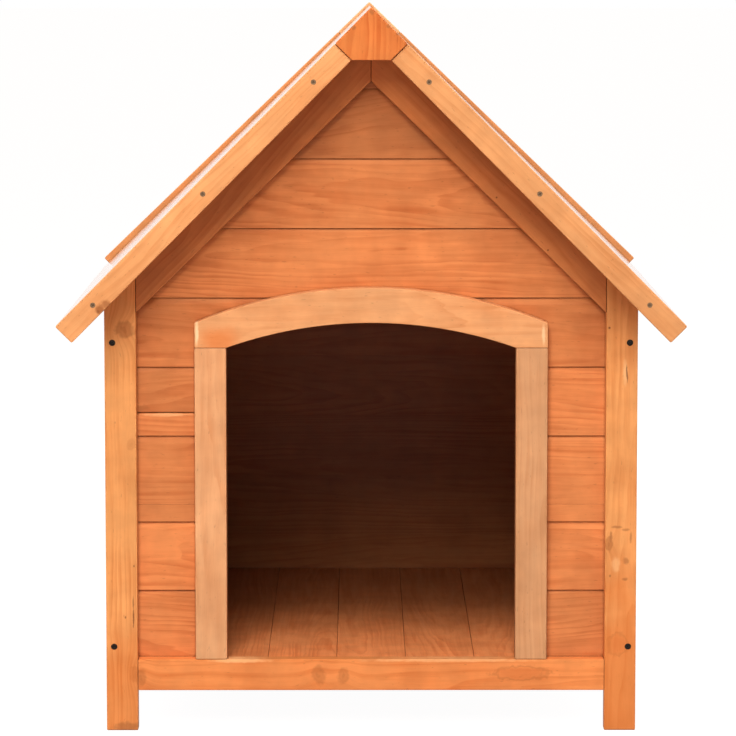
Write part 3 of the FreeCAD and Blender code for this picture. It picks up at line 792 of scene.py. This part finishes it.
RECESS_DEPTH = 1.7 * MM

# the reach and the half width of the cross's arms, as shares of the head's
# radius, and the size of its bottom beside its mouth
RECESS_REACH = 0.62
RECESS_ARM = 0.15
RECESS_TAPER = 0.6

# a face with at least this many corners is round
ROUND_CORNERS = 12


def cross_corners(radius):
    """The twelve corners of a cross recess in a head of this radius, in order."""
    tip = RECESS_REACH * radius
    arm = RECESS_ARM * radius
    for quarter in range(4):
        turn = Matrix.Rotation(quarter * math.pi / 2, 2)
        for corner in ((tip, -arm), (tip, arm), (arm, arm)):
            yield turn @ Vector(corner)


def cut_recess(mesh, head, turn):
    """A tapered cross recess in the flat outer face of a screw's head."""
    middle = head.calc_center_median()
    outward = head.normal.copy()
    reach = head.verts[0].co - middle
    right = (Matrix.Rotation(turn, 3, outward) @ reach).normalized()
    up = outward.cross(right)
    rim = list(head.edges)
    bmesh.ops.delete(mesh, geom=[head], context="FACES_ONLY")
    lip = [mesh.verts.new(middle + right * x + up * y) for x, y in cross_corners(reach.length)]
    floor = [mesh.verts.new(middle + (vertex.co - middle) * RECESS_TAPER - outward * RECESS_DEPTH)
             for vertex in lip]
    pairs = list(zip(range(len(lip)), [*range(1, len(lip)), 0]))
    edges = [mesh.edges.new((lip[first], lip[second])) for first, second in pairs]
    bmesh.ops.triangle_fill(mesh, edges=rim + edges, use_beauty=True)
    for first, second in pairs:
        mesh.faces.new((lip[first], lip[second], floor[second], floor[first]))
    mesh.faces.new(floor)


def flat_head(members):
    """The largest round face of a screw, which is the outer face of its head."""
    caps = {face for vertex in members for face in vertex.link_faces
            if len(face.verts) >= ROUND_CORNERS}
    return max(caps, key=lambda face: face.calc_area())


def cut_screws(node, material):
    """A copy of a node of screws whose heads have a cross recess."""
    mesh = cad_mesh(node)
    join_flat_faces(mesh)
    heads = [flat_head(members) for members in islands(mesh)]
    for index, head in enumerate(heads):
        cut_recess(mesh, head, random.Random(f"{node} {index}").uniform(0, math.pi / 2))
    bmesh.ops.recalc_face_normals(mesh, faces=mesh.faces)
    piece = new_piece(mesh, f"{node}_cut", material)
    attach(piece, "root")
    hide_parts(node)


black_steel = metal_material("black_steel", (0.035, 0.028, 0.022), metallic=0.4, roughness=0.5)
dull_zinc = metal_material("dull_zinc", (0.36, 0.22, 0.12), metallic=0.5, roughness=0.42)
cut_screws("corner_screws", black_steel)
cut_screws("barge_screws", dull_zinc)
cut_screws("floor_screws", dull_zinc)

# ------------------------------------------------------------ studio

FLOOR_REACH = 60.0
FLOOR_GLOW = 0.97
FLOOR_SEEN = (0.12, 0.12, 0.12)
FLOOR_BOUNCE = (0.42, 0.34, 0.27)
WARM_AMBIENT = (1.0, 0.71, 0.47)
AMBIENT_STRENGTH = 0.26
WHITE = (1, 1, 1)

# the place, width, height and power in watts of each lamp, which looks at the house
HOUSE_MIDDLE = Vector((0, 0, 0.42))
SOFTBOXES = {
    "key": ((-0.30, -3.2, 3.10), 1.3, 3.2, 190),
    "overhead": ((0.3, 0.2, 3.6), 2.4, 2.4, 60),
    "left_fill": ((-3.4, 0.9, 1.9), 2.0, 2.0, 70),
    "right_fill": ((3.4, 0.9, 1.9), 2.0, 2.0, 70),
    "back_fill": ((0, 3.9, 2.2), 2.0, 2.0, 70),
}


def unless_seen(graph, shader, seen_shader):
    """The first shader for light that spreads, and the second for what is seen
    straight or in a reflection."""
    path = graph.add("LightPath").outputs
    seen = graph.math("MAXIMUM", path["Is Camera Ray"], path["Is Glossy Ray"])
    node = graph.add("MixShader")
    graph.fill(node, seen, shader.outputs[0], seen_shader.outputs[0])
    return node


def coloured(graph, kind, colour, **numbers):
    """A shader of one colour."""
    shader = graph.add(kind)
    graph.feed(shader.inputs["Color"], colour)
    for name, number in numbers.items():
        shader.inputs[name].default_value = number
    return shader


def studio_floor():
    """A floor that looks white and bounces the warm light of a pale one."""
    data = bpy.data.meshes.new("studio_floor")
    corners = [(-FLOOR_REACH, -FLOOR_REACH, 0), (FLOOR_REACH, -FLOOR_REACH, 0),
               (FLOOR_REACH, FLOOR_REACH, 0), (-FLOOR_REACH, FLOOR_REACH, 0)]
    data.from_pydata(corners, [], [(0, 1, 2, 3)])
    floor = bpy.data.objects.new("studio_floor", data)
    bpy.context.scene.collection.objects.link(floor)
    material, graph = new_material("studio_white")
    seen = graph.add("AddShader")
    glow = coloured(graph, "Emission", WHITE, Strength=FLOOR_GLOW)
    matt = coloured(graph, "BsdfDiffuse", FLOOR_SEEN)
    graph.fill(seen, glow.outputs[0], matt.outputs[0])
    graph.show(unless_seen(graph, coloured(graph, "BsdfDiffuse", FLOOR_BOUNCE), seen))
    data.materials.append(material)


def studio_world():
    """A world that looks white and lights the house softly and warmly."""
    world = bpy.data.worlds.new("studio_world")
    world.use_nodes = True
    bpy.context.scene.world = world
    graph = Graph(world.node_tree)
    ambient = coloured(graph, "Background", WARM_AMBIENT, Strength=AMBIENT_STRENGTH)
    white = coloured(graph, "Background", WHITE)
    graph.show(unless_seen(graph, ambient, white), "OutputWorld")


def softbox(name, place, width, height, power):
    data = bpy.data.lights.new(name, "AREA")
    data.shape = "RECTANGLE"
    data.size = width
    data.size_y = height
    data.energy = power
    lamp = bpy.data.objects.new(name, data)
    lamp.visible_glossy = False
    bpy.context.scene.collection.objects.link(lamp)
    lamp.location = place
    lamp.rotation_euler = (HOUSE_MIDDLE - Vector(place)).to_track_quat("-Z", "Y").to_euler()


studio_floor()
studio_world()
for name, measures in SOFTBOXES.items():
    softbox(name, *measures)

# ------------------------------------------------------------ camera

CAMERA_PLACE = Vector((-0.0135, -4.7107, 0.8833))
CAMERA_TILT = math.radians(6.099)
CAMERA_PAN = math.radians(0.131)
CAMERA_LENS = 189.18

camera_data = bpy.data.cameras.new("camera")
camera_data.lens = CAMERA_LENS
camera_data.sensor_width = 36
camera_data.clip_end = 500
camera = bpy.data.objects.new("camera", camera_data)
bpy.context.scene.collection.objects.link(camera)
camera.location = CAMERA_PLACE
camera.rotation_euler = (math.pi / 2 - CAMERA_TILT, 0, -CAMERA_PAN)
bpy.context.scene.camera = camera
bpy.context.scene.view_settings.view_transform = "Standard"
